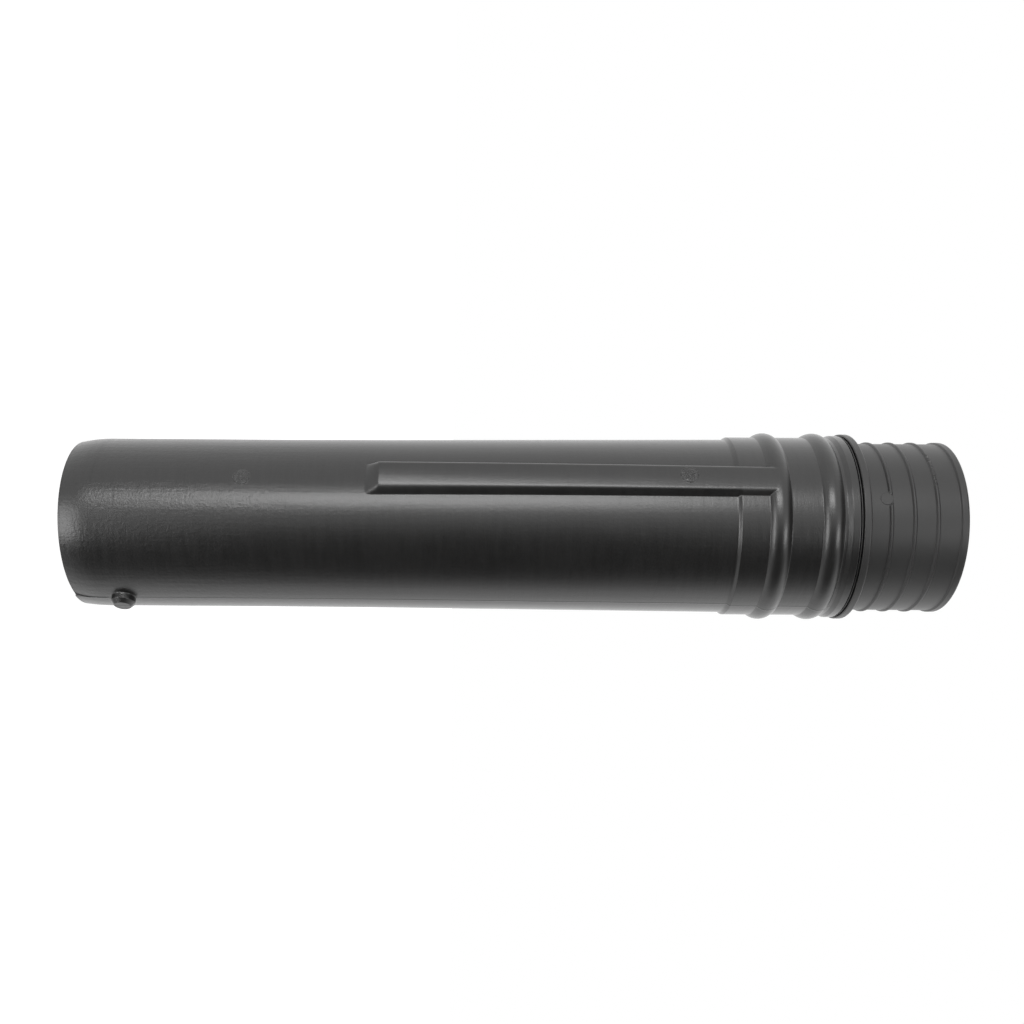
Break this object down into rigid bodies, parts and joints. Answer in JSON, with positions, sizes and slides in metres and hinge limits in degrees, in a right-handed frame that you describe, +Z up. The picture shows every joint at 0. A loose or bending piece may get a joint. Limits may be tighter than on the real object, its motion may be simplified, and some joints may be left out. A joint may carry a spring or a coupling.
{
  "type": "leaf blower nozzle tube",
  "caption": "Blow-moulded air tube for a leaf blower, with locking pips at the nozzle end, a side rail, rolled beads and a ribbed swivel for the hose.",
  "frame": {"origin": "on the tube's axis, in the plane of the nozzle-end rim", "axes": "+Z up the tube's axis to the hose end, as the tube stands on its nozzle rim; -Y is the side that the picture shows, with the rail 25 degrees from -Y towards -X"},
  "size_m": [0.0892, 0.0892, 0.408],
  "materials": {
    "tube_plastic": "satin black blow-moulded polyethylene",
    "swivel_plastic": "fine matte black injection-moulded polypropylene"
  },
  "bodies": {
    "tube": {"blower_tube": "tube_plastic"},
    "swivel": {"hose_swivel": "swivel_plastic"}
  },
  "joints": [
    {"name": "hose_turn", "type": "hinge", "parent": "tube", "child": "swivel", "pos_m": [0, 0, 0.3468], "axis": [0, 0, 1], "continuous": true}
  ]
}
